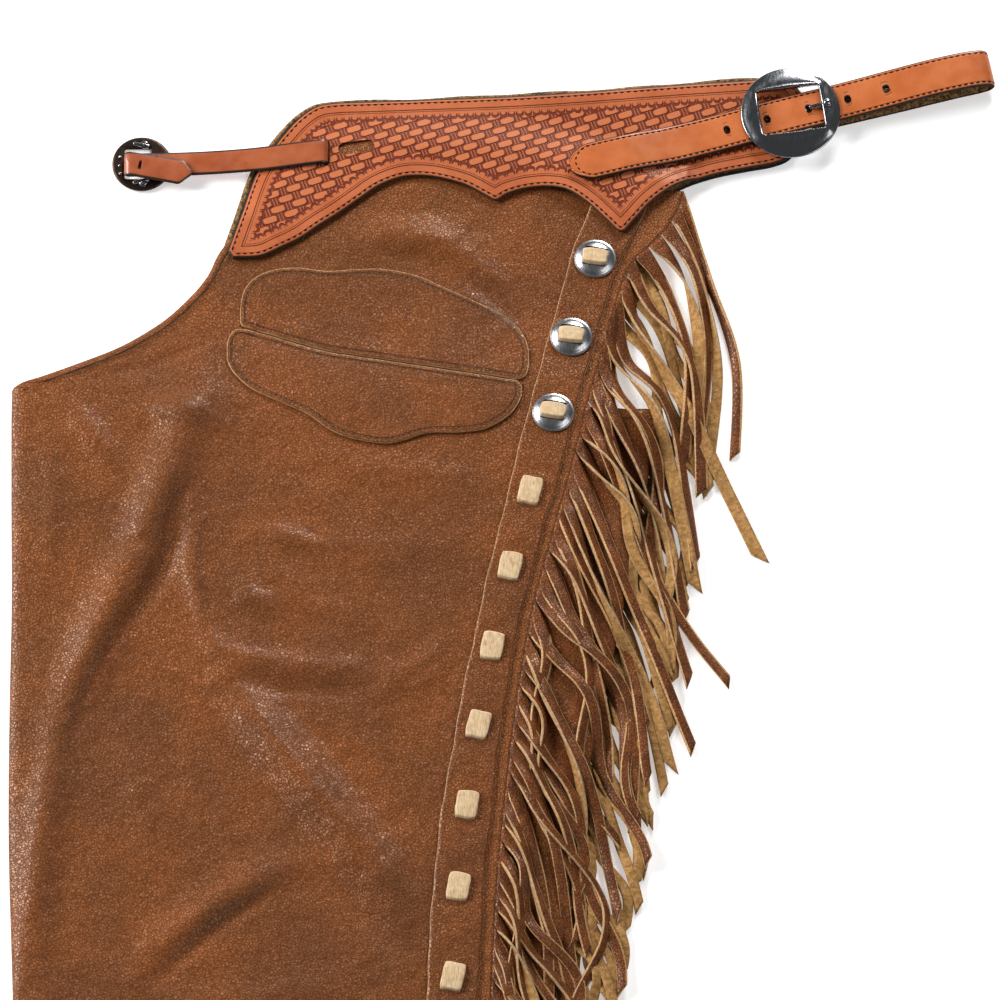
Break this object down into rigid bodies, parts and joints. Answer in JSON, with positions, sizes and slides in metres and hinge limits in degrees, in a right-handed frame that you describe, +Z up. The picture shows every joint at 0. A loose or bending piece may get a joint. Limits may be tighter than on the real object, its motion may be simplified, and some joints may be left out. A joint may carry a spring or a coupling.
{
  "type": "leather chaps",
  "caption": "Pair of fringed leather riding chaps, folded in half and laid flat, with a tooled belt yoke, a round back buckle and a thigh pocket.",
  "frame": {"origin": "middle of the bounding box, on the surface that the folded chaps lie on", "axes": "+Y from the hem up to the belt, +X from the inner fold to the fringe, +Z up from the surface"},
  "size_m": [0.6312, 1.1582, 0.0222],
  "materials": {
    "leg_leather": "pebbled brown leather",
    "fringe_leather": "brown leather, tan suede back",
    "tooled_leather": "orange-tan tooling leather, satin",
    "suede_lining": "suede lining",
    "rawhide": "cream rawhide lace",
    "bright_steel": "polished plate",
    "brown_steel": "browned steel"
  },
  "bodies": {
    "root": {"billet": "tooled_leather", "cart_buckle": "bright_steel", "concho_1": "bright_steel", "concho_2": "bright_steel", "concho_3": "bright_steel", "concho_lace_1": "rawhide", "concho_lace_2": "rawhide", "concho_lace_3": "rawhide", "fringe_lower": "fringe_leather", "fringe_lower_top": "fringe_leather", "fringe_upper": "fringe_leather", "front_buckle": "brown_steel", "front_strap": "tooled_leather", "lace_01": "rawhide", "lace_02": "rawhide", "lace_03": "rawhide", "lace_04": "rawhide", "lace_05": "rawhide", "lace_06": "rawhide", "lace_07": "rawhide", "lace_08": "rawhide", "lace_09": "rawhide", "lace_10": "rawhide", "lace_11": "rawhide", "lace_12": "rawhide", "lace_13": "rawhide", "leg_back": "leg_leather", "leg_front": "leg_leather", "pocket_facing": "leg_leather", "pocket_patch": "leg_leather", "seam_strip": "leg_leather", "under_leg": "leg_leather", "yoke_lower": "suede_lining", "yoke_upper": "tooled_leather"}
  },
  "joints": []
}
